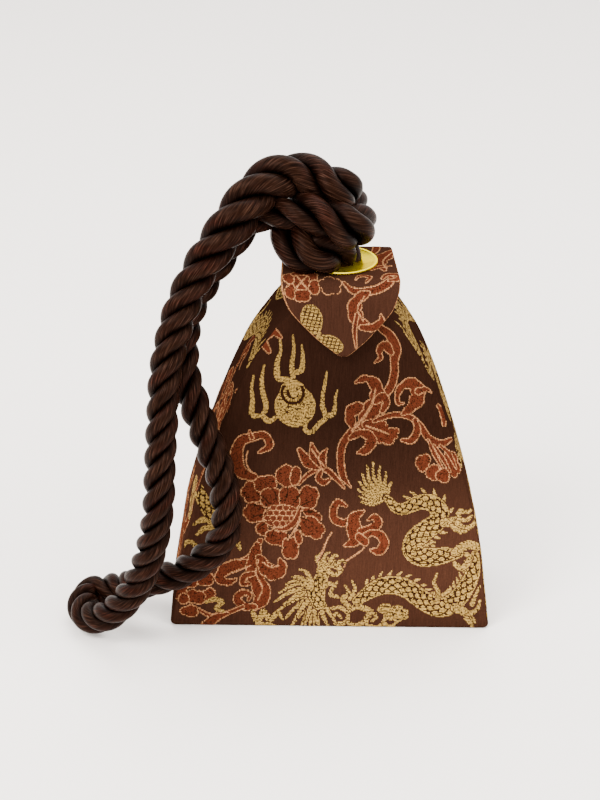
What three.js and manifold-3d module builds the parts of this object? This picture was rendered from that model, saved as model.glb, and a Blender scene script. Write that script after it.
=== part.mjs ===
// Brocade evening bag: a tall bell-shaped bag of covered board panels, closed by a tongue-shaped
// flap over its mouth, with a brass eyelet disc and a thick twisted rope handle knotted above it.
// Millimetres, +Z up, front towards -Y, origin at the middle of the base on the floor.
import * as THREE from "three";
import { mergeVertices } from "three/addons/utils/BufferGeometryUtils.js";
import Module from "manifold-3d";

const wasm = await Module();
wasm.setup();

// Body
const bodyHeight = 176;
const baseHalfWidth = 80;
const baseHalfDepth = 33;
const wall = 2.4;
const seamGap = 0.3;
const panelLevels = 24;

// Closing flap
const flapRise = 8; // top of the flap above the rim of the body
const flapThickness = 2;
const flapHalfBack = 26.3;
const flapHalfFront = 28;
const tongueDrop = 37.5; // top of the flap down to the tip of the tongue
const tongueLean = 2.5; // the tip hangs this far to the right
const backTabDrop = 34;
const backTabRound = 9;
const backFold = 8;
const frontFold = 7;

// Hidden snap between the tongue and the front panel
const snapRadius = 7;
const snapThickness = 2.4;
const snapDrop = 24; // its centre below the top of the flap

// Eyelet disc and rope
const ropeDiameter = 15;
const ropeSides = 10;
const ropeSteps = 80;
const holeClearance = 1.2;
const discRadius = 18.3;
const discThickness = 1;
const discRim = 1.4; // width of its raised edge
const discRimRise = 0.3;
const discBack = -2; // its centre on the flap, measured from the middle of the bag

// Outline of the body from the base to the rim, as shares of its height, half width and half depth
const bodyProfile = [
  { up: 0, wide: 1, deep: 1 },
  { up: 0.122, wide: 0.961, deep: 0.963 },
  { up: 0.305, wide: 0.895, deep: 0.908 },
  { up: 0.56, wide: 0.731, deep: 0.832 },
  { up: 0.782, wide: 0.54, deep: 0.765 },
  { up: 0.9, wide: 0.377, deep: 0.73 },
  { up: 0.945, wide: 0.295, deep: 0.717 },
  { up: 1, wide: 0.225, deep: 0.7 },
];

// Outline of the tongue from its fold to its tip, as shares of its length and of the flap's half width
const tongueOutline = [
  { along: 0, wide: 1 },
  { along: 0.15, wide: 0.975 },
  { along: 0.36, wide: 0.88 },
  { along: 0.5, wide: 0.75 },
  { along: 0.64, wide: 0.585 },
  { along: 0.78, wide: 0.41 },
  { along: 0.9, wide: 0.225 },
  { along: 0.97, wide: 0.11 },
  { along: 1, wide: 0.04 },
];

// Route of the rope's centre: up out of the eyelet, once and a quarter round in the knot, down in
// front of the bag to the floor, round the far bend, up again, over the knot and into its heart.
const ropeRoute = [
  [0, -2, 177.5], [0, -2, 184], [-0.7, -4, 190], [-4.5, -10.5, 193.5], [-13, -18, 193.3],
  [-21, -13, 196.8], [-22.5, 1.5, 197.5], [-14.9, 13.4, 199.5], [3.8, 13.4, 205.2], [6.6, -3.8, 203.9],
  [3.3, -17.8, 206.6], [-13.2, -16.3, 213], [-38.7, -4.5, 207], [-54.6, -8.4, 189], [-70.3, -22.3, 165],
  [-72.2, -34.7, 142], [-63, -42, 114], [-53, -46, 85], [-53, -48, 60], [-67, -47, 43],
  [-88, -37, 28], [-108, -17, 12], [-120, -14, 7.9], [-124, -26, 7.8], [-120.5, -39, 8.4],
  [-111, -49, 14.5], [-100, -56, 28], [-91, -61, 47], [-84, -65, 78], [-82, -59, 116],
  [-79.6, -49, 151.5], [-69.2, -32.4, 182], [-50.6, -20.9, 209], [-36.2, -10, 224.2], [-22.4, -4.5, 227.8],
  [-9.6, -5, 224.4], [-1, -6.6, 221.3], [0.9, -3.5, 219], [-2.2, -1, 215.8], [-9, -1.6, 210],
];

const brocade = new THREE.MeshStandardMaterial({ color: 0x3c241c, roughness: 0.55 });
const covering = new THREE.MeshStandardMaterial({ color: 0x4a2c22, roughness: 0.6 });
const brass = new THREE.MeshStandardMaterial({ color: 0xd9c84a, roughness: 0.3, metalness: 1 });
const steel = new THREE.MeshStandardMaterial({ color: 0x8c8c88, roughness: 0.4, metalness: 1 });
const satinCord = new THREE.MeshStandardMaterial({ color: 0x4b322a, roughness: 0.45 });

// A smooth value from a table: cubic between rows, with the slope of the neighbouring rows.
function readTable(rows, key, column, at) {
  const last = rows.length - 1;
  let i = 0;
  while (i < last - 1 && at > rows[i + 1][key]) i += 1;
  const slope = (k) => {
    const a = rows[Math.max(k - 1, 0)];
    const b = rows[Math.min(k + 1, last)];
    return (b[column] - a[column]) / (b[key] - a[key]);
  };
  const span = rows[i + 1][key] - rows[i][key];
  const t = Math.min(Math.max((at - rows[i][key]) / span, 0), 1);
  const [t2, t3] = [t * t, t * t * t];
  return (2 * t3 - 3 * t2 + 1) * rows[i][column] + (t3 - 2 * t2 + t) * span * slope(i)
    + (3 * t2 - 2 * t3) * rows[i + 1][column] + (t3 - t2) * span * slope(i + 1);
}

const halfWidthAt = (z) => baseHalfWidth * readTable(bodyProfile, "up", "wide", z / bodyHeight);
const halfDepthAt = (z) => baseHalfDepth * readTable(bodyProfile, "up", "deep", z / bodyHeight);

// A closed body through rings of equal length, with its two ends fanned shut and its faces outwards.
function loft(rings) {
  const count = rings[0].length;
  const points = rings.flat();
  const faces = [];
  for (let r = 0; r < rings.length - 1; r += 1) {
    for (let k = 0; k < count; k += 1) {
      const [a, b] = [r * count + k, r * count + ((k + 1) % count)];
      faces.push([a, b, b + count], [a, b + count, a + count]);
    }
  }
  const end = (rings.length - 1) * count;
  for (let k = 1; k < count - 1; k += 1) {
    faces.push([0, k + 1, k], [end, end + k, end + k + 1]);
  }
  const volume = faces.reduce((sum, [a, b, c]) => (
    sum + points[a].dot(points[b].clone().cross(points[c]))), 0);
  const geometry = new THREE.BufferGeometry().setFromPoints(points);
  geometry.setIndex(faces.flatMap(([a, b, c]) => (volume > 0 ? [a, b, c] : [a, c, b])));
  geometry.computeVertexNormals();
  return geometry;
}

function toSolid(geometry) {
  const bare = geometry.clone().deleteAttribute("normal").deleteAttribute("uv");
  const merged = mergeVertices(bare, 1e-3);
  return new wasm.Manifold(new wasm.Mesh({
    numProp: 3,
    vertProperties: merged.attributes.position.array,
    triVerts: new Uint32Array(merged.index.array),
  }));
}

function cut(geometry, tool) {
  const mesh = toSolid(geometry).subtract(toSolid(tool)).getMesh();
  const result = new THREE.BufferGeometry();
  result.setAttribute("position", new THREE.BufferAttribute(mesh.vertProperties, 3));
  result.setIndex(new THREE.BufferAttribute(mesh.triVerts, 1));
  result.computeVertexNormals();
  return result;
}

function addMesh(group, name, geometry, material) {
  const mesh = new THREE.Mesh(geometry, material);
  mesh.name = name;
  group.add(mesh);
  return mesh;
}

// Neighbouring panels meet in mitres, so each one stops this far short of the shared corner.
const mitreStep = seamGap / Math.SQRT2;

// The front panel (side -1) or the back panel (side 1).
function broadPanel(side) {
  const rings = [];
  for (let k = 0; k <= panelLevels; k += 1) {
    const z = (bodyHeight * k) / panelLevels;
    const [w, d] = [halfWidthAt(z) - mitreStep, halfDepthAt(z)];
    rings.push([
      new THREE.Vector3(-w, side * d, z),
      new THREE.Vector3(w, side * d, z),
      new THREE.Vector3(w - wall, side * (d - wall), z),
      new THREE.Vector3(-w + wall, side * (d - wall), z),
    ]);
  }
  return loft(rings);
}

// The left gusset (side -1) or the right gusset (side 1).
function gusset(side) {
  const rings = [];
  for (let k = 0; k <= panelLevels; k += 1) {
    const z = (bodyHeight * k) / panelLevels;
    const [w, d] = [halfWidthAt(z), halfDepthAt(z) - mitreStep];
    rings.push([
      new THREE.Vector3(side * w, -d, z),
      new THREE.Vector3(side * w, d, z),
      new THREE.Vector3(side * (w - wall), d - wall, z),
      new THREE.Vector3(side * (w - wall), -d + wall, z),
    ]);
  }
  return loft(rings);
}

function basePanel() {
  const width = 2 * (halfWidthAt(wall) - wall - seamGap);
  const depth = 2 * (halfDepthAt(wall) - wall - seamGap);
  return new THREE.BoxGeometry(width, depth, wall).translate(0, 0, wall / 2);
}

const flapTop = bodyHeight + flapRise;
const tongueStandOff = snapThickness + 2 * seamGap;
const frontAt = (z) => -(halfDepthAt(Math.min(z, bodyHeight)) + tongueStandOff + flapThickness / 2);
const backAt = (z) => halfDepthAt(Math.min(z, bodyHeight)) + seamGap + flapThickness / 2;

// The flap's middle line in the YZ plane: up the back panel, over the mouth, down the front.
function flapLine() {
  const top = flapTop - flapThickness / 2;
  const corners = [
    new THREE.Vector2(backAt(flapTop - backTabDrop), flapTop - backTabDrop),
    new THREE.Vector2(backAt(top), top),
    new THREE.Vector2(frontAt(top), top),
    new THREE.Vector2(frontAt(flapTop - tongueDrop), flapTop - tongueDrop),
  ];
  const rounds = [0, backFold, frontFold];
  const path = new THREE.Path().moveTo(corners[0].x, corners[0].y);
  for (const i of [1, 2]) {
    const before = corners[i - 1].clone().sub(corners[i]).setLength(rounds[i]).add(corners[i]);
    const after = corners[i + 1].clone().sub(corners[i]).setLength(rounds[i]).add(corners[i]);
    path.lineTo(before.x, before.y);
    path.quadraticCurveTo(corners[i].x, corners[i].y, after.x, after.y);
  }
  path.lineTo(corners[3].x, corners[3].y);
  return path;
}

function closingFlap() {
  const line = flapLine();
  const length = line.getLength();
  const tongueLength = tongueDrop;
  const topLength = length - tongueLength - backTabDrop;
  const stations = 56;
  const across = 10;
  const rings = [];
  for (let k = 0; k <= stations; k += 1) {
    const share = k / stations;
    const run = share * length;
    const middle = line.getPointAt(share);
    const slope = line.getTangentAt(share);
    const normal = new THREE.Vector2(slope.y, -slope.x).multiplyScalar(flapThickness / 2);
    const overTop = Math.min(Math.max((run - backTabDrop) / topLength, 0), 1);
    let half = flapHalfBack + (flapHalfFront - flapHalfBack) * overTop;
    let lean = 0;
    if (run < backTabRound) {
      const drop = 1 - run / backTabRound;
      half -= backTabRound * (1 - Math.sqrt(1 - drop * drop * 0.98));
    }
    if (run > length - tongueLength) {
      const along = (run - length + tongueLength) / tongueLength;
      half *= readTable(tongueOutline, "along", "wide", along);
      lean = tongueLean * along * along;
    }
    const ring = [];
    for (let j = 0; j <= across; j += 1) {
      const x = lean + half * ((2 * j) / across - 1);
      ring.push(new THREE.Vector3(x, middle.x + normal.x, middle.y + normal.y));
    }
    for (let j = across; j >= 0; j -= 1) {
      const x = lean + half * ((2 * j) / across - 1);
      ring.push(new THREE.Vector3(x, middle.x - normal.x, middle.y - normal.y));
    }
    rings.push(ring);
  }
  return cut(loft(rings), eyeletHole());
}

const holeRadius = ropeDiameter / 2 + holeClearance;

function eyeletHole() {
  const hole = new THREE.CylinderGeometry(holeRadius, holeRadius, 4 * flapThickness, 32);
  return hole.rotateX(Math.PI / 2).translate(0, discBack, flapTop - flapThickness / 2);
}

function flapSnap() {
  const z = flapTop - snapDrop;
  const lean = Math.atan2(halfDepthAt(z - 1) - halfDepthAt(z + 1), 2);
  const disc = new THREE.CylinderGeometry(snapRadius, snapRadius, snapThickness, 32);
  const y = -(halfDepthAt(z) + seamGap + snapThickness / 2);
  return disc.rotateX(-lean).translate(0, y, z);
}

function eyeletDisc() {
  const section = [
    [holeRadius, 0],
    [discRadius, 0],
    [discRadius, discThickness],
    [discRadius - discRim / 2, discThickness + discRimRise],
    [discRadius - discRim, discThickness],
    [holeRadius, discThickness],
    [holeRadius, 0],
  ];
  const disc = new THREE.LatheGeometry(section.map(([r, h]) => new THREE.Vector2(r, h)), 48);
  return disc.rotateX(Math.PI / 2).translate(0, discBack, flapTop + seamGap);
}

function ropeHandle() {
  const route = ropeRoute.map(([x, y, z]) => new THREE.Vector3(x, y, z));
  const path = new THREE.CatmullRomCurve3(route, false, "centripetal");
  const section = new THREE.Shape();
  for (let k = 0; k < ropeSides; k += 1) {
    const turn = (2 * Math.PI * k) / ropeSides;
    const [x, y] = [Math.cos(turn), Math.sin(turn)].map((v) => (v * ropeDiameter) / 2);
    if (k === 0) section.moveTo(x, y);
    else section.lineTo(x, y);
  }
  return new THREE.ExtrudeGeometry(section, { steps: ropeSteps, extrudePath: path });
}

const body = new THREE.Group();
addMesh(body, "front_panel", broadPanel(-1), brocade);
addMesh(body, "back_panel", broadPanel(1), brocade);
addMesh(body, "left_gusset", gusset(-1), brocade);
addMesh(body, "right_gusset", gusset(1), brocade);
addMesh(body, "base_panel", basePanel(), covering);

const closure = new THREE.Group();
addMesh(closure, "closing_flap", closingFlap(), brocade);
addMesh(closure, "flap_snap", flapSnap(), steel);
addMesh(closure, "eyelet_disc", eyeletDisc(), brass);

const bag = new THREE.Group();
bag.add(body, closure);
addMesh(bag, "rope_handle", ropeHandle(), satinCord);

export default bag;
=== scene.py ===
import bpy
import numpy as np
from mathutils import Matrix, Vector


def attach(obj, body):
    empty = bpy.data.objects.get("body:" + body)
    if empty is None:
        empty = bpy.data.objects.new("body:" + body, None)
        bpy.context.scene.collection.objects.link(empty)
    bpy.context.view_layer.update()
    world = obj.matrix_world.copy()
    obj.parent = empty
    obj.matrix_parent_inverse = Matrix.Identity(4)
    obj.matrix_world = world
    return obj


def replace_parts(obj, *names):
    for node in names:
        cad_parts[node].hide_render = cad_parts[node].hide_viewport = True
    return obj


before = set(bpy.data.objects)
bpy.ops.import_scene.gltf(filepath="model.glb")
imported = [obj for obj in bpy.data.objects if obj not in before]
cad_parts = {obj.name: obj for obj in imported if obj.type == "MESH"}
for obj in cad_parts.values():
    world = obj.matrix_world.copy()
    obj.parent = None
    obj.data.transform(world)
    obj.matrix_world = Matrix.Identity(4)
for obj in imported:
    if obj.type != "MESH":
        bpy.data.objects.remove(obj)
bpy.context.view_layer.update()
mm = 0.001


def makePiece(name, points, faces, material, corners=None, faceValues=()):
    # one mesh object from whole arrays: points, faces, corner UVs and values kept on each face
    mesh = bpy.data.meshes.new(name)
    mesh.from_pydata(points, [], faces)
    mesh.polygons.foreach_set("use_smooth", np.ones(len(mesh.polygons), bool))
    if corners is not None:
        layer = mesh.uv_layers.new(name="cloth")
        layer.data.foreach_set("uv", np.asarray(corners, np.float32).ravel())
    for label, kind, values in faceValues:
        attribute = mesh.attributes.new(label, kind, "FACE")
        key = "color" if kind == "FLOAT_COLOR" else "value"
        attribute.data.foreach_set(key, np.asarray(values, np.float32).ravel())
    mesh.update()
    mesh.validate()
    mesh.materials.append(material)
    piece = bpy.data.objects.new(name, mesh)
    bpy.context.scene.collection.objects.link(piece)
    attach(piece, "root")
    return piece


def gridFaces(rows, columns, wrap):
    # quads of a grid whose rows are closed loops (wrap) or open lines
    r, c = np.meshgrid(np.arange(rows - 1), np.arange(columns if wrap else columns - 1), indexing="ij")
    nextC = (c + 1) % columns
    low, high = r * columns, (r + 1) * columns
    quads = np.stack([low + c, low + nextC, high + nextC, high + c], -1)
    return quads.reshape(-1, 4)


def closingWalls(faces, shift):
    # quads that join the open border of a grid to the border of its copy, whose points come shift later
    edges = np.stack([faces, np.roll(faces, -1, axis=1)], -1).reshape(-1, 2)
    key = np.sort(edges, 1)
    _, index, counts = np.unique(key[:, 0] * shift + key[:, 1], return_index=True, return_counts=True)
    border = edges[index[counts == 1]]
    return np.stack([border[:, 1], border[:, 0], border[:, 0] + shift, border[:, 1] + shift], 1)


def outwards(points, faces):
    # turns every face round where the closed shell holds a negative volume
    first = np.array([f[:3] for f in faces])
    p, q, r = points[first[:, 0]], points[first[:, 1]], points[first[:, 2]]
    volume = np.sum(p * np.cross(q, r))
    return faces if volume > 0 else [f[::-1] for f in faces]


def catmull(route, steps):
    # centripetal Catmull-Rom curve through the route, with steps points in each span
    p = np.asarray(route, float)
    p = np.vstack([2 * p[0] - p[1], p, 2 * p[-1] - p[-2]])
    gaps = np.sqrt(np.linalg.norm(np.diff(p, axis=0), axis=1))
    spans = []
    for i in range(1, len(p) - 2):
        t0, t1, t2, t3 = np.concatenate([[0], np.cumsum(gaps[i - 1:i + 2])])
        t = np.linspace(t1, t2, steps, endpoint=False)[:, None]
        a1 = (t1 - t) / (t1 - t0) * p[i - 1] + (t - t0) / (t1 - t0) * p[i]
        a2 = (t2 - t) / (t2 - t1) * p[i] + (t - t1) / (t2 - t1) * p[i + 1]
        a3 = (t3 - t) / (t3 - t2) * p[i + 1] + (t - t2) / (t3 - t2) * p[i + 2]
        b1 = (t2 - t) / (t2 - t0) * a1 + (t - t0) / (t2 - t0) * a2
        b2 = (t3 - t) / (t3 - t1) * a2 + (t - t1) / (t3 - t1) * a3
        spans.append((t2 - t) / (t2 - t1) * b1 + (t - t1) / (t2 - t1) * b2)
    return np.vstack(spans + [p[-2:-1]])


def evenly(line, count):
    # the same line as count points at equal steps along it
    steps = np.linalg.norm(np.diff(line, axis=0), axis=1)
    run = np.concatenate([[0], np.cumsum(steps)])
    at = np.linspace(0, run[-1], count)
    return np.stack([np.interp(at, run, line[:, k]) for k in range(line.shape[1])], -1), run[-1]


def directionsAlong(line):
    # unit tangents by central differences
    t = np.gradient(line, axis=0)
    return t / np.linalg.norm(t, axis=1, keepdims=True)


cameraPlace = {
    "target": (0, 0, 90), "distance": 950, "elevation": 26.3, "yaw": -2.6, "roll": 1.9,
    "focal": 1913, "targetPixel": (333, 437), "imageSize": (600, 800), "sensor": 36,
}


def placeCamera(v):
    # stands back from the target, then aims at the middle of the image, so that no shift is needed
    lift, turn, roll = np.radians([v["elevation"], v["yaw"], v["roll"]])
    back = np.array([np.sin(turn) * np.cos(lift), -np.cos(turn) * np.cos(lift), np.sin(lift)])
    place = np.array(v["target"]) + back * v["distance"]
    right = np.cross(-back, (0, 0, 1))
    right /= np.linalg.norm(right)
    up = np.cross(right, -back)
    imageRight = np.cos(roll) * right + np.sin(roll) * up
    imageUp = np.cos(roll) * up - np.sin(roll) * right
    offX = v["imageSize"][0] / 2 - v["targetPixel"][0]
    offY = v["imageSize"][1] / 2 - v["targetPixel"][1]
    aim = -back + imageRight * offX / v["focal"] - imageUp * offY / v["focal"]
    aim /= np.linalg.norm(aim)
    imageRight -= aim * np.dot(aim, imageRight)
    imageRight /= np.linalg.norm(imageRight)
    imageUp = np.cross(imageRight, aim)
    turned = Matrix(np.stack([imageRight, imageUp, -aim], 1).tolist()).to_4x4()
    data = bpy.data.cameras.new("studioCamera")
    data.sensor_width = v["sensor"]
    data.lens = v["focal"] / max(v["imageSize"]) * v["sensor"]
    data.clip_start = 0.05
    camera = bpy.data.objects.new("studioCamera", data)
    camera.matrix_world = Matrix.Translation(Vector((place * mm).tolist())) @ turned
    bpy.context.scene.collection.objects.link(camera)
    bpy.context.scene.camera = camera


placeCamera(cameraPlace)
print("camera placed")


def newMaterial(name):
    material = bpy.data.materials.new(name)
    material.use_nodes = True
    nodes = material.node_tree.nodes
    return material, nodes, material.node_tree.links, nodes["Principled BSDF"]


def addNode(nodes, kind, inputs=None, **settings):
    node = nodes.new(kind)
    for key, value in settings.items():
        setattr(node, key, value)
    for key, value in (inputs or {}).items():
        node.inputs[key].default_value = value
    return node


def rampNode(nodes, stops):
    ramp = nodes.new("ShaderNodeValToRGB")
    for k, (at, colour) in enumerate(stops):
        stop = ramp.color_ramp.elements[k] if k < 2 else ramp.color_ramp.elements.new(at)
        stop.position = at
        stop.color = (*colour, 1)
    return ramp


def stretchedNoise(nodes, links, source, scale, detail=2.0, turn=0.0, spot="POINT"):
    # noise read through a Mapping that stretches it into streaks; as a TEXTURE it is turned first
    stretch = {"Scale": scale, "Rotation": (0, 0, turn)}
    mapping = addNode(nodes, "ShaderNodeMapping", stretch, vector_type=spot)
    noise = addNode(nodes, "ShaderNodeTexNoise", {"Scale": 1.0, "Detail": detail})
    links.new(source, mapping.inputs["Vector"])
    links.new(mapping.outputs["Vector"], noise.inputs["Vector"])
    return noise.outputs["Fac"]


def colourAt(nodes, links, value, stops):
    # the colour that a ramp gives to a value
    ramp = rampNode(nodes, stops)
    links.new(value, ramp.inputs["Fac"])
    return ramp.outputs["Color"]


def multiplied(nodes, links, first, second):
    # one colour times another
    mix = addNode(nodes, "ShaderNodeMix", {"Factor": 1.0}, data_type="RGBA", blend_type="MULTIPLY")
    links.new(first, mix.inputs[6])
    links.new(second, mix.inputs[7])
    return mix.outputs[2]


def raised(nodes, links, shader, height, strength, distance):
    # fine relief, no more than distance high in metres
    bump = addNode(nodes, "ShaderNodeBump", {"Strength": strength, "Distance": distance})
    links.new(height, bump.inputs["Height"])
    links.new(bump.outputs["Normal"], shader.inputs["Normal"])


def ropeMaterial():
    # viscose strands: filaments run nearly along the rope, darkened in the grooves by painted shade, rosy
    # on the crowns
    material, nodes, links, shader = newMaterial("satinCord")
    uv = addNode(nodes, "ShaderNodeUVMap", uv_map="cloth").outputs["UV"]
    filaments = stretchedNoise(nodes, links, uv, (7.5, 0.3, 1), 2.0, -0.85, "TEXTURE")
    patches = stretchedNoise(nodes, links, uv, (16, 7, 1), 1.0, 0.4, "TEXTURE")
    tone = colourAt(nodes, links, filaments, [
        (0.36, (0.0016, 0.0005, 0.0002)), (0.47, (0.0060, 0.0020, 0.0010)),
        (0.56, (0.0108, 0.0044, 0.0025)), (0.69, (0.0350, 0.0170, 0.0115)),
    ])
    hue = colourAt(nodes, links, patches, [
        (0.36, (1.0, 0.93, 0.82)), (0.5, (1.0, 0.96, 0.95)), (0.66, (1.16, 0.80, 0.76)),
    ])
    # the UV's second value is 0 on a strand's crown and grows towards the grooves on both sides
    split = addNode(nodes, "ShaderNodeSeparateXYZ")
    crown = addNode(nodes, "ShaderNodeMath", operation="ABSOLUTE")
    reach = addNode(nodes, "ShaderNodeMath", {1: 0.1}, operation="MULTIPLY")
    links.new(uv, split.inputs[0])
    links.new(split.outputs["Y"], crown.inputs[0])
    links.new(crown.outputs[0], reach.inputs[0])
    # painted shade: the strand's colour darkens from its crown towards the grooves between strands
    paintedGrooveShade = colourAt(nodes, links, reach.outputs[0], [(0.2, (1, 1, 1)), (0.6, (0.05, 0.04, 0.04))])
    strand = multiplied(nodes, links, multiplied(nodes, links, tone, hue), paintedGrooveShade)
    links.new(strand, shader.inputs["Base Color"])
    raised(nodes, links, shader, filaments, 0.8, 0.0003)
    shader.inputs["Roughness"].default_value = 0.38
    shader.inputs["Specular IOR Level"].default_value = 0.035
    shader.inputs["Specular Tint"].default_value = (1.0, 0.62, 0.50, 1)
    return material


rope = {
    "diameter": 15, "strandRadius": 3.4, "strandOffset": 4.2, "sides": 26, "steps": 1000,
    "crowding": 0.35, "taper": 5, "pressFrom": 0.7, "pressTo": 0.86,
    # fuller in the knot: mm along the rope, or from its end where negative, and times as thick
    "full": ((0, 1.2), (8, 1.43), (70, 1.42), (112, 1.42), (135, 1.32), (180, 1.0), (-170, 1.0),
             (-108, 1.15), (-78, 1.42), (-30, 1.43), (0, 1.2)),
    "lay": 33.5, "layAtTop": 50, "topStarts": 165, "topSpan": 40,  # the twist opens up in the knot
    "route": [
        (0, -2, 177.5), (0, -2, 184), (-0.7, -4, 190), (-4.5, -10.5, 193.5), (-13, -18, 193.3),
        (-21, -13, 196.8), (-22.5, 1.5, 197.5), (-14.9, 13.4, 199.5), (3.8, 13.4, 205.2),
        (6.6, -3.8, 203.9), (3.3, -17.8, 206.6), (-13.2, -16.3, 213), (-38.7, -4.5, 207),
        (-54.6, -8.4, 189), (-70.3, -22.3, 165), (-72.2, -34.7, 142), (-63, -42, 114), (-53, -46, 85),
        (-53, -48, 60), (-67, -47, 43), (-88, -37, 28), (-108, -17, 12), (-120, -14, 7.9),
        (-124, -26, 7.8), (-120.5, -39, 8.4), (-111, -49, 14.5), (-100, -56, 28), (-91, -61, 47),
        (-84, -65, 78), (-82, -59, 116), (-79.6, -49, 151.5), (-69.2, -32.4, 182), (-50.6, -20.9, 209),
        (-36.2, -10, 224.2), (-22.4, -4.5, 227.8), (-9.6, -5, 224.4), (-1, -6.6, 221.3), (0.9, -3.5, 219),
        (-2.2, -1, 215.8), (-9, -1.6, 210),
    ],
}


def rollingFrames(tangents):
    # carries one sideways direction along the line without letting it turn about the line
    side = np.cross(tangents[0], (0.0, 1.0, 0.2))
    sides = [side / np.linalg.norm(side)]
    for t in tangents[1:]:
        side = sides[-1] - t * np.dot(sides[-1], t)
        sides.append(side / np.linalg.norm(side))
    sides = np.array(sides)
    return sides, np.cross(tangents, sides)


def ropeFullness(v, run, length):
    # how many times as thick the rope is at each place along it
    at, times = np.array(v["full"]).T
    last = np.arange(len(at)) == len(at) - 1
    return np.interp(run, np.where((at < 0) | last, length + at, at), times)


def strandSurface(v, k, line, run, sides, ups, phase, full, taper, around):
    # rings carried along the helix of one strand, which is a little uneven along its length
    turn = phase + 2 * np.pi * k / 3
    outward = np.cos(turn)[:, None] * sides + np.sin(turn)[:, None] * ups
    swell = 1 + 0.025 * np.sin(run / 9.1 + 2.1 * k) + 0.02 * np.sin(run / 4.3 + k)
    middle = line + outward * (v["strandOffset"] * full)[:, None] * taper
    along = directionsAlong(middle)
    out = outward - along * np.sum(outward * along, 1, keepdims=True)
    out /= np.linalg.norm(out, axis=1, keepdims=True)
    across = np.cross(along, out)
    radius = (v["strandRadius"] * (swell * full)[:, None] * taper)[:, None]
    cosine, sine = np.cos(around)[None, :, None], np.sin(around)[None, :, None]
    ring = cosine * out[:, None] + sine * across[:, None]
    return middle[:, None] + ring * radius


def pressedFlat(v, surface, line, inward, curvature):
    # where the rope turns tightly its inner side is pressed flat instead of crossing itself
    toward = np.sum((surface - line[:, None]) * inward[:, None], -1)
    most = (v["pressTo"] / np.maximum(curvature, 1e-4))[:, None]
    free, rest = v["pressFrom"] * most, (1 - v["pressFrom"]) * most
    pressed = np.where(toward > free, free + rest * np.tanh((toward - free) / rest), toward)
    return surface + inward[:, None] * (pressed - toward)[..., None]


def strandFaces(v, start):
    # the quads of one strand, closed by a cap at each end
    end = start + (v["steps"] - 1) * v["sides"]
    caps = [list(range(start + v["sides"] - 1, start - 1, -1)), list(range(end, end + v["sides"]))]
    return (gridFaces(v["steps"], v["sides"], True) + start).tolist() + caps


def strandCorners(v, k, run, around):
    # UV in mm: along the rope, and round the strand from its crown
    r, c = np.meshgrid(np.arange(v["steps"] - 1), np.arange(v["sides"]), indexing="ij")
    wide = np.append(around, around[0] + 2 * np.pi) * v["strandRadius"]
    u = np.stack([run[r], run[r], run[r + 1], run[r + 1]], -1) + 300 * k
    w = np.stack([wide[c], wide[c + 1], wide[c + 1], wide[c]], -1)
    return np.concatenate([np.stack([u, w], -1).reshape(-1, 2), np.zeros((2 * v["sides"], 2))])


def makeRope(v, material):
    # three plump strands wound right-handed round the route
    line, length = evenly(catmull(v["route"], 60), v["steps"])
    t = directionsAlong(line)
    sides, ups = rollingFrames(t)
    step = length / (v["steps"] - 1)
    bend = np.gradient(t, step, axis=0)
    curvature = np.linalg.norm(bend, axis=1)
    inward = bend / np.maximum(curvature, 1e-9)[:, None]
    loosen = np.clip((line[:, 2] - v["topStarts"]) / v["topSpan"], 0, 1)
    lay = v["lay"] + (v["layAtTop"] - v["lay"]) * loosen
    phase = np.concatenate([[0], np.cumsum(2 * np.pi * step / lay[1:])])
    run = np.linspace(0, length, v["steps"])
    taper = np.sqrt(np.clip(np.minimum(run, length - run) / v["taper"], 0.02, 1))[:, None]
    full = ropeFullness(v, run, length)
    around = np.linspace(-np.pi, np.pi, v["sides"], endpoint=False)
    around = around - v["crowding"] * np.sin(around)  # denser on the crown than where strands press
    points, faces, corners = [], [], []
    for k in range(3):
        surface = strandSurface(v, k, line, run, sides, ups, phase, full, taper, around)
        points.append(pressedFlat(v, surface, line, inward, curvature).reshape(-1, 3))
        faces += strandFaces(v, k * v["steps"] * v["sides"])
        corners.append(strandCorners(v, k, run, around))
    piece = makePiece("twisted_rope", np.vstack(points) * mm, faces, material,
                      np.vstack(corners))
    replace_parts(piece, "rope_handle")
    print("rope length", round(length, 1), "mm, tightest bend", round(1 / curvature.max(), 1), "mm")


makeRope(rope, ropeMaterial())


def clothMaterial():
    # woven satin: each cell brings its own yarn colour, streaks run up the warp, raised yarns are ribbed
    material, nodes, links, shader = newMaterial("brocadeCloth")
    # the yarn colours hold the painted sheen and shade down the chart as well as each square's own colour
    yarn = addNode(nodes, "ShaderNodeAttribute", attribute_name="yarn").outputs["Color"]
    gilt = addNode(nodes, "ShaderNodeAttribute", attribute_name="gilt").outputs["Fac"]
    place = addNode(nodes, "ShaderNodeTexCoord").outputs["Object"]
    warp = stretchedNoise(nodes, links, place, (2600, 2600, 26), 2.0)
    cloud = stretchedNoise(nodes, links, place, (14, 14, 9), 1.0)
    weft = stretchedNoise(nodes, links, place, (500, 500, 3600), 1.0)
    streak = colourAt(nodes, links, warp, [(0.3, (0.80, 0.79, 0.79)), (0.7, (1.16, 1.14, 1.13))])
    drift = colourAt(nodes, links, cloud, [(0.35, (0.88, 0.87, 0.88)), (0.65, (1.15, 1.13, 1.10))])
    woven = multiplied(nodes, links, multiplied(nodes, links, yarn, streak), drift)
    links.new(woven, shader.inputs["Base Color"])
    metal = addNode(nodes, "ShaderNodeMath", {1: 0.1}, operation="MULTIPLY")
    links.new(gilt, metal.inputs[0])
    links.new(metal.outputs[0], shader.inputs["Metallic"])
    ribs = addNode(nodes, "ShaderNodeMath", operation="ADD")
    links.new(warp, ribs.inputs[0])
    links.new(weft, ribs.inputs[1])
    raised(nodes, links, shader, ribs.outputs[0], 0.35, 0.00012)
    shader.inputs["Roughness"].default_value = 0.55
    shader.inputs["Specular IOR Level"].default_value = 0.0
    return material


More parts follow.
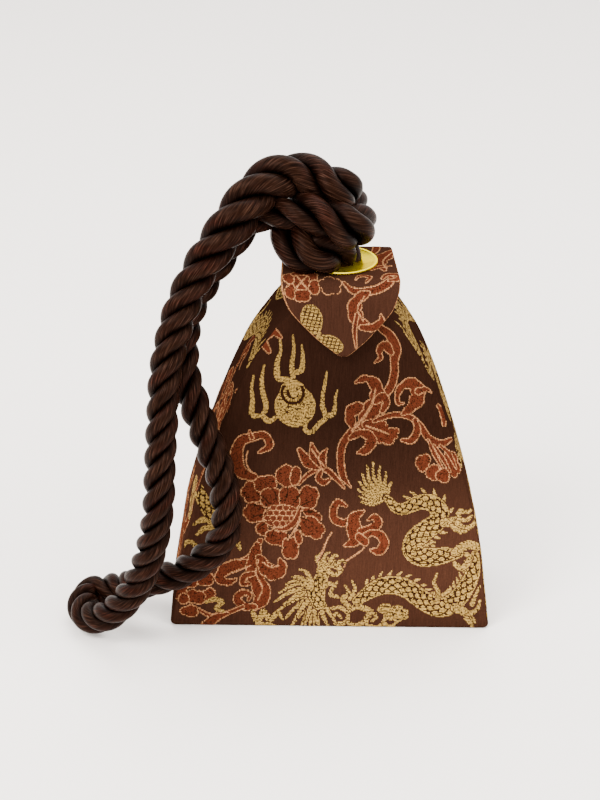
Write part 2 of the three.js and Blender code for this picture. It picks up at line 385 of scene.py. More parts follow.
yarns = {  # colour, how far it stands up in mm, how gilt it is, how uneven from square to square
    "ground": ((0.0250, 0.0100, 0.0058), 0.0, 0.0, 0.06),
    "rust": ((0.064, 0.0152, 0.0068), 0.11, 0.0, 0.17),
    "tan": ((0.262, 0.122, 0.053), 0.17, 0.1, 0.24),
    "gold": ((0.262, 0.164, 0.044), 0.15, 0.5, 0.20),
    "dark": ((0.016, 0.006, 0.0026), 0.03, 0.0, 0.1),
    "orange": ((0.180, 0.038, 0.006), 0.13, 0.0, 0.2),
}
ground, rust, tan, gold, dark, orange = range(len(yarns))
yarnColours, yarnHeights, yarnGilt, yarnSpread = [np.array(column) for column in zip(*yarns.values())]

weaving = {
    "missedShare": 0.04, "missedTone": 0.35,  # squares of a figure where its yarn is missing
    "ribRows": 3, "ribWander": 1.2, "ribTurn": 0.21, "ribShare": 0.8, "ribTone": 0.5, "hemTone": 0.45,
    # painted sheen and shade of the satin ground down the chart: darker in the upper part, lighter below
    # its middle, as the bell leans out below its middle
    "paintedSheenAt": (295, 345, 425, 475, 525, 575, 627), "paintedSheen": (0.8, 0.55, 0.5, 0.8, 1.3, 1.4, 1.0),
    "flapPaintedSheen": 1.15, "figurePaintedSheen": 0.3,
}


def newChart(x, y):
    # the squares of a weaving chart: where each one is, and which yarn shows there
    return {"x": x.ravel(), "y": y.ravel(), "ink": np.zeros(x.size, np.int8), "shape": x.shape}


def yarnValues(chart, seed):
    # colour and gilt of each square: its yarn's own, a little uneven from square to square, times a
    # painted sheen and shade
    v = weaving
    draw = np.random.default_rng(seed)
    ink = chart["ink"]
    uneven = 1 + yarnSpread[ink] * np.clip(draw.normal(size=ink.size), -2, 2)
    missed = (draw.random(ink.size) < v["missedShare"]) & (ink != ground)
    uneven = np.where(missed, v["missedTone"], uneven)
    # the gold weft lies in ribs a few squares high that wander a little, and the hems are stitched
    row, column = np.divmod(np.arange(ink.size), chart["shape"][1])
    rib = (row + np.round(v["ribWander"] * np.sin(column * v["ribTurn"]))) % v["ribRows"] == 0
    ribbed = (ink == gold) & rib & (draw.random(ink.size) < v["ribShare"])
    uneven = np.where(ribbed, uneven * v["ribTone"], uneven)
    uneven = np.where((ink == tan) & ((row + 2 * column) % 5 == 0), uneven * v["hemTone"], uneven)
    # painted sheen and shade: the ground is lightened or darkened by its row on the chart, the figures
    # much less, and the flap is lightened evenly
    paintedSheen = np.interp(chart["y"], v["paintedSheenAt"], v["paintedSheen"])
    if "flap" in chart:
        paintedSheen = np.full(ink.size, v["flapPaintedSheen"])
    uneven = uneven * np.where(ink == ground, paintedSheen, paintedSheen ** v["figurePaintedSheen"])
    colours = yarnColours[ink] * uneven[:, None]
    return np.concatenate([colours, np.ones((ink.size, 1))], 1), yarnGilt[ink]


def standUp(chart):
    # height of the cloth at the corners of the squares: the mean of the squares around each corner
    rows, columns = chart["shape"]
    height = yarnHeights[chart["ink"]].reshape(rows, columns)
    padded = np.pad(height, 1, mode="edge")
    return (padded[:-1, :-1] + padded[1:, :-1] + padded[:-1, 1:] + padded[1:, 1:]) / 4


def frond(chart, path, wide, fill, edge=tan, hem=1.1, lobes=(0, 0), weave=None, gap=0.0):
    # a stem, leaf or body: squares nearer to a smooth line than a half width that changes along it
    curve = catmull(path, 12)
    length = np.linalg.norm(np.diff(curve, axis=0), axis=1).sum()
    line, length = evenly(curve, int(length / 1.5) + 8)
    reach = max(wide) + gap + 1
    low, high = line.min(0) - reach, line.max(0) + reach
    x, y = chart["x"], chart["y"]
    near = np.flatnonzero((x > low[0]) & (x < high[0]) & (y > low[1]) & (y < high[1]))
    if not len(near):
        return
    spot = np.stack([x[near], y[near]], -1)
    far = (spot**2).sum(1)[:, None] - 2 * spot @ line.T + (line**2).sum(1)
    closest = far.argmin(1)
    t = directionsAlong(line)[closest]
    off = spot - line[closest]
    run = closest * length / (len(line) - 1) + np.sum(off * t, 1)
    side = t[:, 0] * off[:, 1] - t[:, 1] * off[:, 0]
    beyond = np.maximum(np.maximum(-run, run - length), 0)
    share = np.clip(run / length, 0, 1)
    half = np.interp(share, np.linspace(0, 1, len(wide)), wide)
    if lobes[0]:
        half = half * (1 - lobes[1] * (1 - np.abs(np.sin(np.pi * lobes[0] * share))))
    inner = half - np.hypot(side, beyond)
    shade(chart, near, inner, fill, edge, hem, gap, weave, (run, side, half))


def fronds(chart, rows, fill, edge=tan, **more):
    # fronds of one yarn: each row holds a path, its half widths and, where the edge has them, its lobes
    for path, wide, *lobes in rows:
        frond(chart, path, wide, fill, edge, lobes=lobes[0] if lobes else (0, 0), **more)


def shade(chart, near, inner, fill, edge, hem, gap, weave, place):
    # inner is how deep a square lies within the figure: a rim of the ground, then the hem, then the fill
    ink = chart["ink"]
    if gap:
        ink[near[(inner < 0) & (inner > -gap)]] = ground
    ink[near[inner > 0]] = fill
    if weave is not None:
        ink[near[(inner > 0) & weave(*place)]] = dark
    if edge is not None:
        ink[near[(inner > 0) & (inner < hem)]] = edge


def petal(chart, centre, size, turn=0, fill=rust, edge=tan, hem=1.1, lobes=0, notch=0.2, weave=None,
          gap=0.0):
    # a rounded petal: an oval whose edge is drawn in between its lobes
    reach = max(size) + gap + 1
    dx, dy = chart["x"] - centre[0], chart["y"] - centre[1]
    near = np.flatnonzero((np.abs(dx) < reach) & (np.abs(dy) < reach))
    dx, dy = dx[near], dy[near]
    turned = np.radians(turn)
    u = (dx * np.cos(turned) + dy * np.sin(turned)) / size[0]
    w = (dy * np.cos(turned) - dx * np.sin(turned)) / size[1]
    radius = np.hypot(u, w)
    edgeAt = 1 - (notch * (1 - np.abs(np.sin(lobes * np.arctan2(w, u) / 2))) ** 1.5 if lobes else 0)
    inner = (edgeAt - radius) * np.hypot(dx, dy) / np.maximum(radius, 1e-6)
    shade(chart, near, inner, fill, edge, hem, gap, weave, (dx, dy, radius))


def petals(chart, rows, **more):
    # petals of one flower: each row holds the centre, the two half sizes, the turn and the lobes
    for centre, size, turn, lobes in rows:
        petal(chart, centre, size, turn, lobes=lobes, **more)


def scales(long, across):
    # rows of overlapping rounded scales, each hiding the root of the next: dark where one ends
    def weave(run, side, half):
        x = run / long
        line = np.zeros(len(x), bool)
        found = np.zeros(len(x), bool)
        for back in (1, 0):
            row = np.floor(x) - back
            dx = x - row
            y = side / across - 0.5 * (row % 2)
            dy = y - np.round(y)
            edgeAt = (dx / 1.75) ** 2 + (dy / 0.62) ** 2
            here = (edgeAt < 1) & ~found
            line |= here & (edgeAt > 0.62)
            found |= here
        belly = (side > half * 0.62) & (side < half * 0.62 + 0.9)
        return line | ~found | belly
    return weave


def dashes(long, gapShare, across=0.0):
    # yarns broken into dashes, and into strands where across is given
    def weave(run, side, half):
        broken = (run / long + 0.37 * np.sin(side)) % 1 < gapShare
        return broken | ((side / across) % 1 < 0.32) if across else broken
    return weave


def flecks(size, share):
    # dark flecks scattered by a fixed sum of waves
    def weave(x, y, depth):
        wave = np.sin(x * 12.9898 / size + np.floor(y / size) * 78.233) * 43758.5453
        other = np.sin(np.floor(x / size) * 39.425 + y * 1.7 / size) * 9631.73
        return (wave - np.floor(wave) < share) | (other - np.floor(other) < share * 0.5)
    return weave


def seedNet(x, y, depth):
    # a net of dark lines, a little aslant
    return ((x + 0.25 * y) % 4.2 < 1.1) | ((y - 0.12 * x) % 3.4 < 0.9)


def swirl(x, y, depth):
    # rings broken by rays, over the lower part only
    return ((np.floor(depth * 4.2) % 2 > 0) | ((np.arctan2(y, x) * 3.2) % 1 < 0.28)) & (y > -7)


def spikes(chart, path, root, tall, count, sideways, fill=gold):
    # back fins: short tapered points that lean back along one side of the body
    line, length = evenly(catmull(path, 12), count)
    t = directionsAlong(line)
    out = np.stack([-t[:, 1], t[:, 0]], -1) * sideways
    roots = np.interp(np.linspace(0, 1, count), np.linspace(0, 1, len(root)), root)
    for k in range(count):
        foot = line[k] + out[k] * (roots[k] - 0.5)
        tip = foot + out[k] * tall - t[k] * tall * 0.8
        frond(chart, [foot, (foot + tip) / 2 + out[k] * 0.5, tip], [1.9, 1.4, 0.6], fill, None)


def paintPearl(chart):
    # a flaming pearl, with tongues of flame on three sides
    petal(chart, (294.5, 406.5), (20.5, 20.5), 0, gold, gold, weave=flecks(1.9, 0.16))
    petal(chart, (292, 393), (13, 13), 0, gold, None, weave=swirl)
    frond(chart, [(294, 390), (290, 386), (293, 396), (298, 391)], [1.5, 2, 2, 1.2], gold, None)
    flame = dashes(4.2, 0.16)
    fronds(chart, [
        ([(289, 388), (289, 381), (278, 379), (276.5, 364), (280, 351), (279, 339)],
         [2.6, 2.6, 3.2, 2.4, 1.6, 0.9]),
        ([(289, 381), (292, 378), (291, 365), (293, 351), (292, 336)], [2.4, 2.6, 2.2, 1.6, 0.9]),
        ([(291, 373), (300, 371), (302, 361), (301, 346)], [2.0, 2.8, 2.0, 0.9]),
        ([(275, 418), (268, 422), (262, 417), (252, 416), (252, 401), (251, 389), (253, 377)],
         [2, 2.6, 2.4, 2.8, 2.0, 1.6, 0.9]),
        ([(262, 417), (265.5, 407), (262.5, 395), (261, 382), (263.5, 366)], [2.2, 2.8, 2.4, 1.9, 0.9]),
        ([(306, 421), (304.5, 429), (309.5, 432.5), (319, 423), (325, 417), (322, 407), (322, 395),
          (324, 384), (326, 372)], [1.8, 2.4, 2.4, 2.4, 2.6, 2.2, 1.8, 1.6, 0.9]),
        ([(325, 415), (332, 414), (334.5, 405), (334.5, 398), (337, 390)], [2.2, 2.6, 1.9, 1.5, 0.8]),
    ], gold, None, weave=flame)


def paintScroll(chart):
    # the tall acanthus scroll on the right, from its root up to the flap
    leaf = flecks(2.3, 0.07)
    fronds(chart, [
        ([(351, 487), (343, 476), (340.5, 460), (342, 445), (350, 433), (363, 423), (374, 416)],
         [1, 4, 4.2, 4.2, 4.5, 5, 4]),
        ([(381, 398), (390, 386), (394, 372), (394, 359), (395, 347), (389, 334), (381, 328)],
         [4, 4.5, 4.5, 4.2, 6, 5, 4]),
        ([(391, 352), (384, 344), (379, 350), (380, 357), (374, 362)], [4, 5.5, 4, 3, 1.5], (3, 0.25)),
        ([(352, 426), (350, 414), (356, 406), (362, 412), (366, 424)], [4, 7, 6.5, 6, 4], (4, 0.3)),
        ([(362, 424), (371, 409), (377, 396), (375, 384), (365, 378), (355, 382)], [7, 10, 9, 8, 5, 2],
         (5, 0.28)),
        ([(375, 400), (383, 396), (386, 402), (382, 410)], [4, 5, 4, 3]),
        ([(366, 424), (377, 428), (388, 434), (396, 430)], [7, 11, 12, 5], (6, 0.3)),
        ([(350, 437), (361, 432), (371, 437), (367, 448), (358, 452)], [3.5, 4.5, 6, 6, 2.5], (4, 0.22)),
        ([(374, 420), (387, 415), (400, 413.5), (412, 417), (420, 424), (428, 436), (440, 442),
          (452, 437)], [2.5, 3, 3.2, 3.2, 3.4, 4, 4.5, 2]),
        ([(402, 413), (412, 405), (418, 393), (413, 382), (402, 385), (397, 394), (398, 402), (403, 402)],
         [2.5, 6, 8.5, 8, 6, 4.2, 3.2, 2], (6, 0.24)),
        ([(415, 419), (417, 429), (411, 439), (402, 439)], [3, 4.2, 4.2, 2]),
        ([(418, 390), (426, 388), (431, 391)], [4, 3, 1]),
        ([(438, 404), (443, 412), (444, 423)], [2, 4, 2.4]),
    ], rust, weave=leaf)
    frond(chart, [(352, 430), (364, 416), (372, 402), (375, 388)], [1.2, 1.6, 1.4, 0.8], tan, None)
    frond(chart, [(366, 425), (378, 429), (389, 433)], [1, 1.2, 0.8], tan, None)
    petals(chart, [
        ((423, 461), (8, 10), 20, 3), ((433, 471), (8, 9), 0, 3), ((443, 474), (8, 8), 0, 3),
        ((452, 462), (8, 15), -18, 5),
    ], weave=leaf)
    for path in [
        [(428, 438), (434, 452), (442, 466)], [(434, 444), (442, 456), (450, 470)],
        [(440, 444), (449, 452), (456, 466)],
    ]:
        frond(chart, path, [1.6, 2.6, 1.6], rust, hem=1.0)


def paintPeony(chart):
    # the open peony with its seeds, its bud and the curled leaf beside it
    leaf = flecks(2.1, 0.09)
    frond(chart, [(259, 453), (269, 446), (264, 436), (252, 438), (241, 442), (236, 457), (240, 472),
                  (254, 478)], [2, 4.5, 4, 5, 6, 7.5, 6.5, 4], rust, weave=leaf)
    frond(chart, [(251, 438), (249, 432)], [3, 1.5], rust)
    frond(chart, [(247, 452), (246, 464), (252, 474)], [0.8, 0.8, 0.8], tan, None)
    fronds(chart, [
        ([(298, 484), (308, 474), (322, 468), (336, 478), (344, 487)], [2, 2.6, 3, 3.4, 1.5]),
        ([(321, 468), (308, 462), (299, 450)], [3, 6.5, 3]),
        ([(321, 466), (314, 455), (311, 443)], [3, 6, 1.5]),
        ([(323, 466), (322, 456), (326, 449)], [3, 4.5, 1.5]),
        ([(321, 470), (318, 478), (323, 482), (330, 478)], [2, 3.6, 3.6, 1.5]),
    ], rust, weave=leaf)
    frond(chart, [(311, 449), (318, 459), (324, 466)], [0.8, 0.8, 0.8], tan, None)
    petals(chart, [
        ((252, 493), (12, 12), 0, 5), ((254, 513), (12, 11), 0, 5), ((265, 484), (13, 9), -10, 4),
        ((285, 476), (10.5, 12), 0, 3), ((295, 476), (6.5, 10), 10, 2), ((308, 497), (11, 13), 15, 4),
        ((312, 514), (11, 5), 28, 0), ((311, 527), (15, 11), 32, 5), ((262, 529), (7, 8), 0, 3),
        ((277, 538), (14, 8.5), 8, 4), ((290, 548), (9.5, 12.5), 0, 4), ((298, 537), (4, 8), -12, 0),
        ((271, 498), (12.5, 11), 0, 4), ((289, 498), (12, 13), -6, 4),
    ], notch=0.16, weave=leaf)
    for k in range(13):
        lean = 2 * np.pi * k / 13
        root = np.array((19 * np.cos(lean), 12 * np.sin(lean)))
        tip = np.array((34 * np.cos(lean), 26 * np.sin(lean)))
        vein = [root + (283, 512), (root + tip) / 2 + (284, 511), tip + (283, 512)]
        frond(chart, vein, [0.6, 0.7, 0.4], dark, None)
    petal(chart, (281, 516), (19, 11.5), -6, rust, tan, weave=leaf)
    for row in range(4):  # seeds: small rings in offset rows
        for k in range(6):
            x, y = 267 + 6.2 * k + 3.1 * (row % 2), 508 + 5.2 * row
            if ((x - 281) / 16) ** 2 + ((y - 516) / 9.5) ** 2 < 1:
                petal(chart, (x, y), (3.8, 3.3), 0, rust, tan, hem=0.9)
    frond(chart, [(300, 508), (294, 522), (284, 529), (272, 528)], [2, 3.4, 3, 1.2], rust)
    frond(chart, [(300, 520), (294, 530), (287, 540)], [0.8, 0.9, 0.8], tan, None)


def paintLeaves(chart):
    # the leaf spray and half flower in the lower left
    leaf = flecks(2.3, 0.07)
    fronds(chart, [
        ([(260, 541), (253, 554), (243, 561), (230, 562)], [3, 3.4, 3, 1.2]),
        ([(252, 563), (236, 566), (224, 571), (220, 579), (228, 583), (236, 580)], [4, 6, 7, 6.5, 4.5, 2],
         (5, 0.2)),
        ([(257, 546), (254, 560), (253, 573), (259, 585), (262, 597), (255, 607)],
         [5, 7.5, 8, 9.5, 9.5, 5], (5, 0.18)),
        ([(259, 558), (267, 570), (276, 573), (282, 567), (280, 560)], [5, 7.5, 8.5, 6.5, 3], (5, 0.2)),
        ([(253, 574), (244, 577), (243, 584), (250, 584)], [3, 3.4, 3.4, 1.6]),
        ([(255, 607), (243, 606), (237, 599), (243, 593), (250, 595), (248, 601)],
         [3, 4.4, 4.4, 4.2, 3, 1.5]),
        ([(243, 607), (226, 614), (210, 616), (198, 610)], [2.2, 2.4, 2.4, 2]),
        ([(228, 614), (215, 619), (206, 627)], [2, 4.6, 5.5]),
    ], rust, weave=leaf)
    for path in [
        [(258, 560), (256, 574), (262, 588), (258, 600)], [(262, 562), (270, 567), (278, 566)],
        [(250, 566), (238, 571), (228, 575)],
    ]:
        frond(chart, path, [0.7, 0.9, 0.7], tan, None)
    petals(chart, [
        ((205, 580), (10, 8), 0, 4), ((190, 582), (9, 8), 0, 4), ((209, 596), (8, 8), 0, 3),
        ((180, 592), (9, 10), 0, 4), ((196, 598), (11, 8), 10, 4), ((190, 612), (10, 6.5), 0, 3),
        ((184, 600), (6, 6), 0, 0),
    ], weave=leaf)
    fronds(chart, [
        ([(206, 603), (214, 600), (222, 603), (216, 609), (224, 612)], [1.4, 2.4, 2.4, 2, 1.2]),
        ([(252, 611), (258, 622), (263, 612), (270, 619), (278, 613), (282, 619)],
         [1.8, 3, 2.6, 3, 2.6, 1.4]),
        ([(256, 627), (266, 624), (276, 627)], [1.6, 2.4, 1.6]),
        ([(194, 526), (203, 521), (213, 523)], [1.4, 3, 3]),
        ([(197, 536), (204, 530), (213, 528)], [1.4, 2.8, 3]),
        ([(236, 545), (240, 549), (239, 543)], [1, 1.6, 0.9]),
        ([(184, 548), (188, 543), (194, 545), (196, 552)], [1.2, 2, 2.2, 1.4]),
    ], gold, None, weave=dashes(3.8, 0.14))
    frond(chart, [(196, 484), (203, 502), (214, 517), (226, 524)], [4, 6.5, 7, 6], gold, None,
          weave=scales(6, 6))


def paintSprig(chart):
    # a small rust sprig with curled ends, and the whisker that trails from it
    leaf = flecks(2.3, 0.06)
    fronds(chart, [
        ([(346, 505), (338, 502), (333, 509), (334, 518), (342, 522), (352, 519)],
         [2, 4, 4.4, 4.4, 4.2, 3]),
        ([(364, 510), (354, 517), (354, 528), (354, 540), (345, 545)], [1.5, 6, 8, 6.5, 2]),
        ([(360, 530), (371, 528), (378, 521), (374, 516), (368, 519)], [3.4, 5, 5.2, 4, 1.5]),
        ([(364, 536), (371, 532), (380, 534), (384, 542), (379, 550), (371, 549)],
         [4, 3.4, 5, 5.2, 5, 2]),
        ([(359, 536), (365, 541)], [4.5, 4.5]),
    ], rust, weave=leaf)
    frond(chart, [(364, 547), (357, 553), (347, 560), (343, 567), (337, 569)], [0.9] * 5, tan, None)


dragonBack = [
    (387, 497), (395, 506), (402, 508), (412, 504), (424, 500), (435, 504), (440, 512), (436, 521),
    (424, 530), (414, 539), (412, 549), (420, 555), (435, 555), (448, 553), (459, 552),
]
dragonBackWide = [3.5, 5, 6, 7, 8, 9, 9, 9.5, 10, 9.5, 9.5, 9.5, 9, 7.5, 4]
dragonFront = [
    (475, 553), (474, 567), (468, 582), (459, 595), (448, 604), (435, 605), (422, 598), (408, 588),
    (395, 584), (382, 585), (369, 591), (357, 600),
]
dragonFrontWide = [4, 6.5, 8, 9, 9.5, 9.5, 9.5, 9.5, 9, 8.5, 7, 4.5]


def paintDragon(chart):
    # a long scaled dragon: brush tail, two coils of body with fins, clawed feet, maned head
    for tip, bow in [
        ((361, 501), (372, 503)), ((359, 496), (370, 499)), ((358, 489), (368, 495)),
        ((359, 481), (367, 490)), ((362, 473), (367, 485)), ((367, 465), (370, 481)),
        ((373, 461), (374, 477)), ((380, 465), (379, 477)), ((386, 471), (385, 480)),
        ((391, 481), (389, 486)),
    ]:
        frond(chart, [(387, 497), bow, tip], [2.0, 1.9, 1.0], gold, None, weave=dashes(3.1, 0.22))
    spikes(chart, dragonBack[3:13], dragonBackWide[3:13], 5.5, 17, -1)
    spikes(chart, dragonFront[1:11], dragonFrontWide[1:11], 5.5, 20, 1)
    frond(chart, dragonBack, dragonBackWide, gold, gold, hem=1.1, weave=scales(5.6, 6.4), gap=1.0)
    frond(chart, dragonFront, dragonFrontWide, gold, gold, hem=1.1, weave=scales(5.6, 6.4), gap=1.0)
    fronds(chart, [  # legs, claws and the flames beside them
        ([(444, 521), (452, 520), (459, 517)], [4.5, 4.5, 3.5]),
        ([(457, 516), (460, 510), (468, 510), (474, 507)], [2, 2.6, 2, 0.9]),
        ([(459, 518), (467, 518), (472, 514)], [2.4, 2.2, 0.9]),
        ([(457, 521), (464, 526), (472, 524), (476, 517)], [2.4, 2.8, 2.2, 0.9]),
        ([(452, 524), (458, 529), (466, 530)], [2.2, 2.6, 1.6]),
        ([(454, 551), (461, 546), (469, 543), (478, 545)], [3.4, 4.4, 4.4, 4]),
        ([(455, 562), (461, 566), (468, 561), (472, 556)], [2.5, 3, 3, 1.6]),
        ([(466, 552), (470, 556), (467, 560)], [2, 3, 1.6]),
        ([(437, 572), (434, 581), (438, 590), (437, 600)], [0.9, 1.6, 2.2, 2.4]),
        ([(455, 606), (466, 611), (474, 620)], [4.5, 4, 2]),
        ([(470, 612), (477, 607), (480, 598)], [2.4, 2, 0.9]),
        ([(472, 602), (476, 592), (480, 584)], [2.2, 1.8, 0.9]),
        ([(466, 616), (472, 624), (474, 628)], [2.2, 2, 1.2]),
        ([(349, 606), (343, 598), (349, 592), (345, 585)], [2.6, 2.6, 2, 0.9]),
        ([(350, 598), (355, 588), (352, 580)], [2, 1.8, 0.9]),
        ([(338, 596), (330, 594), (333, 587), (337, 581)], [1.6, 2, 1.8, 0.9]),
    ], gold, None, weave=dashes(4.4, 0.15), gap=0.8)
    # head: mane strands, then jaw, skull, brow, horns and crest
    for tip, bow in [
        ((274, 602), (295, 590)), ((279, 593), (298, 583)), ((286, 584), (302, 578)),
        ((277, 611), (293, 600)), ((285, 618), (297, 606)), ((291, 626), (301, 612)),
        ((300, 629), (306, 614)), ((309, 629), (311, 615)), ((319, 629), (317, 616)),
        ((330, 629), (323, 616)), ((336, 622), (328, 611)), ((283, 605), (297, 595)),
        ((294, 620), (303, 606)), ((304, 626), (310, 608)), ((314, 626), (315, 608)),
    ]:
        frond(chart, [(316, 592), bow, tip], [2.6, 2.3, 0.9], gold, None, weave=dashes(5.2, 0.12), gap=0.9)
    frond(chart, [(325, 566), (321, 578), (316, 590), (318, 602)], [5, 6.5, 9, 7], gold, gold,
          weave=scales(5, 5), gap=1.0)
    fronds(chart, [
        ([(320, 571), (325, 562), (333, 563), (341, 569)], [4, 5, 4.4, 2.4]),
        ([(319, 564), (316, 557), (320, 553)], [2.2, 1.8, 0.9]),
        ([(324, 561), (325, 554), (329, 552)], [2.2, 1.8, 0.9]),
        ([(330, 561), (334, 555), (338, 555)], [2.2, 1.8, 0.9]),
        ([(336, 564), (342, 560), (346, 562)], [2.2, 1.8, 0.9]),
        ([(328, 571), (335, 574), (341, 571)], [2.6, 2.6, 1.2]),
        ([(308, 586), (300, 577), (292, 577)], [3, 2.2, 0.9]),
        ([(311, 582), (306, 572), (299, 569)], [2.6, 2, 0.9]),
        ([(322, 587), (330, 583), (336, 586)], [2.4, 2, 0.9]),
    ], gold, None, weave=dashes(4.6, 0.13), gap=0.7)
    petal(chart, (324, 571), (2.4, 2.0), 0, dark, gold, hem=0.9)
    frond(chart, [(317, 561), (323, 549), (326, 541), (331, 532)], [0.9, 1.1, 0.9, 0.8], tan, None)


def paintCloud(chart):
    # a ruyi cloud: two curled heads, a linked band and a feathered tail
    fronds(chart, [
        ([(341, 617), (337, 613), (333, 617), (337, 623), (345, 622), (348, 614), (341, 607), (331, 608)],
         [1.4, 1.6, 1.8, 2, 2, 2, 2, 1.4]),
        ([(348, 610), (357, 606), (366, 608), (374, 612)], [2, 2.6, 2.8, 2.4]),
        ([(348, 622), (356, 625), (364, 621), (370, 614)], [2, 2.4, 2.4, 2]),
        ([(372, 620), (376, 616), (372, 612), (366, 616), (368, 624), (378, 626), (385, 619), (386, 611)],
         [1.4, 1.6, 1.8, 2, 2, 2, 2.2, 2]),
        ([(352, 628), (362, 629), (372, 630)], [1.4, 2, 1.4]),
        ([(384, 622), (390, 626), (396, 622)], [1.6, 2.2, 1.2]),
    ], gold, None, weave=dashes(5, 0.12), gap=0.8)
    petal(chart, (396, 612), (13, 8.5), 6, gold, gold, lobes=7, notch=0.22,
          weave=flecks(1.8, 0.22), gap=0.8)
    petal(chart, (384, 607), (7, 4.5), -20, gold, gold, weave=dashes(3, 0.2, 2.2), gap=0.6)


paper = {  # the chart's squares are about half a millimetre
    "middle": 329.5, "foot": 626.75, "perMm": (1.989, 1.752), "lean": 0.0548, "spread": 0.00086,
    "squeeze": 0.00079, "flapMiddle": 341, "flapFold": 283, "flapPerMm": (2.1, 1.97), "flapRim": 0.42,
}


def squaredPaper(a, z):
    # squares right and down from the chart's corner: a straight scale, a small lean and a small squeeze
    v = paper
    right = v["middle"] + v["perMm"][0] * a + v["lean"] * z + v["spread"] * a * z
    return right, v["foot"] - v["perMm"][1] * z - v["squeeze"] * z**2


def moved(chart, right, down, mirror=False):
    # the same squares, read so that what is painted lands further right and down, or mirrored
    x = chart["x"] - right
    return {**chart, "x": 2 * paper["middle"] - x if mirror else x, "y": chart["y"] - down}


def frontChart(a, z):
    chart = newChart(*squaredPaper(a, z))
    for paint in (paintPearl, paintScroll, paintPeony, paintSprig, paintLeaves, paintCloud, paintDragon):
        paint(chart)
    frond(chart, [(268, 352), (262, 341), (272, 333), (280, 338)], [3, 5, 5, 2], rust)
    return chart


def backChart(a, z):
    # the same repeat of the cloth, cut elsewhere: the figures fall in other places
    chart = newChart(*squaredPaper(a, z))
    paintDragon(moved(chart, 8, -6, True))
    paintCloud(moved(chart, -6, -2, True))
    paintPearl(moved(chart, 24, -52))
    paintScroll(moved(chart, 6, 4, True))
    paintPeony(moved(chart, 74, -8))
    paintSprig(moved(chart, -32, -62, True))
    paintLeaves(moved(chart, 164, 0))
    paintSprig(moved(chart, 52, -106))
    paintCloud(moved(chart, 96, -94))
    return chart


def leftChart(a, z):
    # the same repeat again: a gold dragon's bend above, a rust scroll and a peony below it
    chart = newChart(*squaredPaper(a, z))
    paintScroll(moved(chart, -58, 22))
    paintPeony(moved(chart, 44, 62))
    paintCloud(moved(chart, -84, -108))
    paintSprig(moved(chart, -62, -112))
    paintDragon(moved(chart, -62, -238))
    return chart


def rightChart(a, z):
    # cut from lower in the repeat: gold dragons one above the other, a sprig between them
    chart = newChart(*squaredPaper(a, z))
    paintSprig(moved(chart, 10, -44))
    paintSprig(moved(chart, -46, -160, True))
    paintDragon(moved(chart, 84, 6, True))
    paintDragon(moved(chart, -100, -128))
    paintDragon(moved(chart, 66, -252, True))
    return chart


def flapChart(x, r, away):
    # squares as on the front; r runs down the tongue from its fold, and is negative over the top
    v = paper
    across, down = v["flapMiddle"] + v["flapPerMm"][0] * x, v["flapFold"] + v["flapPerMm"][1] * r
    chart = {**newChart(across, down), "flap": True}
    leaf = flecks(2.2, 0.07)
    petals(chart, [
        ((291, 281), (7, 8), 0, 3), ((300, 275), (8, 7), 0, 3), ((312, 279), (8, 9), 10, 3),
        ((315, 290), (7, 7), 0, 3), ((293, 294), (7, 7), 0, 3), ((304, 297), (9, 7), 0, 4),
        ((303, 285), (9, 9), 0, 4),
    ], notch=0.16, weave=leaf)
    for path in [[(297, 277), (302, 285), (308, 291)], [(309, 278), (303, 286), (296, 292)]]:
        frond(chart, path, [0.6, 0.9, 0.6], tan, None)
    petal(chart, (331, 288), (12, 9), 8, ground, tan, 0.9, 5, 0.22)
    petal(chart, (313.5, 320), (10.5, 15), -14, gold, gold, 0.7, weave=seedNet)
    petal(chart, (332.5, 344), (13.5, 8.5), 22, gold, gold, 0.7, weave=seedNet)
    frond(chart, [(322, 333), (318, 341), (323, 349), (334, 354)], [1.2, 1.5, 1.5, 1.0], gold, None)
    fronds(chart, [
        ([(344, 286), (352, 292), (366, 293), (382, 289), (391, 281), (386, 274)],
         [1.6, 3.2, 3.6, 4, 4.4, 2]),
        ([(356, 282), (361, 277), (370, 279), (366, 285)], [1.6, 2.6, 2.6, 1.4]),
        ([(382, 281), (388, 273), (399, 274), (397, 281), (388, 283)], [2, 3.6, 3.6, 3.2, 1.5]),
        ([(368, 294), (358, 300), (355, 311), (361, 322), (371, 327)], [3.4, 6.5, 8.5, 7, 4], (4, 0.26)),
        ([(363, 327), (374, 327), (382, 321), (381, 314)], [3.4, 4.4, 4.6, 1.2]),
        ([(358, 314), (356, 329), (358, 347)], [2.4, 2.6, 1.4]),
        ([(385, 262), (381, 240), (390, 222), (399, 208)], [3, 9, 9, 3], (4, 0.2)),
        ([(372, 262), (380, 254), (392, 250)], [1.6, 3.6, 1.5]),
    ], rust, weave=leaf)
    for path in [[(364, 297), (358, 309), (364, 321)], [(386, 256), (385, 238), (395, 216)]]:
        frond(chart, path, [0.7, 0.9, 0.7], tan, None)
    petal(chart, (284, 244), (4, 4), 0, orange, tan, 1.0, 4, 0.3)
    petal(chart, (283, 212), (9, 12), 0, gold, gold, 0.7, weave=seedNet)
    # over the top and down the back
    paintScroll(moved(chart, 62, -262, True))
    paintPeony(moved(chart, 54, -408))
    # painted highlight: the turned edge is painted as a thin pale line where it catches the light
    chart["ink"][away.ravel() < v["flapRim"]] = tan
    return chart


body = {
    "height": 176, "halfWidth": 80, "halfDepth": 33, "wall": 2.4, "edgeRound": 1.9,
    "footRound": (2.6, 1.7), "rimRound": 1.1, "seam": 0.1, "crown": 0.5, "rows": 322,
    # share of the height: shares of the half width and of the half depth
    "profile": [
        (0, 1, 1), (0.122, 0.961, 0.963), (0.305, 0.895, 0.908), (0.56, 0.731, 0.832),
        (0.782, 0.54, 0.765), (0.9, 0.377, 0.73), (0.945, 0.295, 0.717), (1, 0.225, 0.7),
    ],
}


